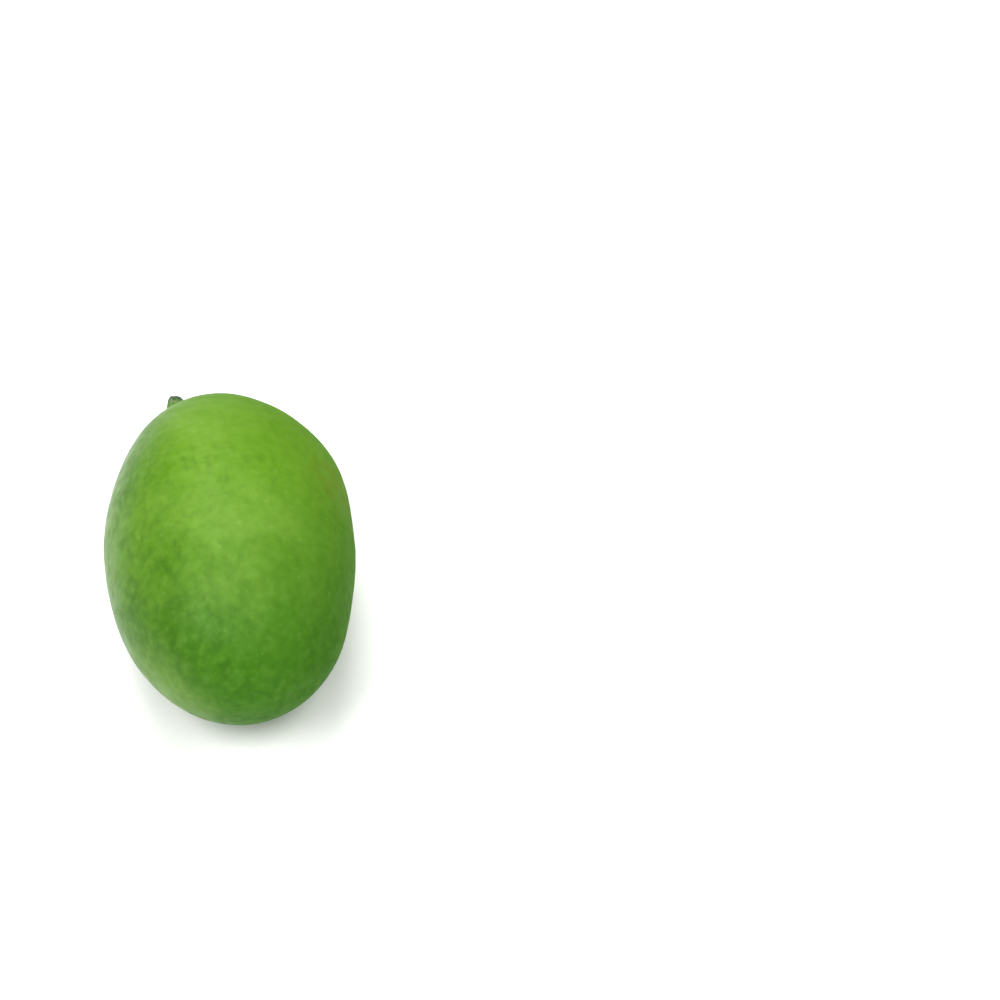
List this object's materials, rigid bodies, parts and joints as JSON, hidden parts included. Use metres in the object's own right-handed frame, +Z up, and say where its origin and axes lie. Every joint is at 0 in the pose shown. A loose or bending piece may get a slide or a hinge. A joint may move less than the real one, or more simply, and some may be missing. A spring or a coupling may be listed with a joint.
{
  "type": "mango",
  "caption": "Small unripe green mango, egg-shaped with a fuller shoulder on its belly side, lying on its cheek with a short stub of stalk on its neck.",
  "frame": {"origin": "on the surface the fruit lies on, under the middle of the bounding box of fruit and stalk", "axes": "+Z up from the cheek that it lies on, +Y from the rounded tip to the stalk end, +X towards the belly side with the fuller shoulder"},
  "size_m": [0.045, 0.076, 0.0411],
  "materials": {
    "skin": "satin",
    "stalk": "matte"
  },
  "bodies": {
    "root": {"fruit": "skin", "stalk_stub": "stalk"}
  },
  "joints": []
}
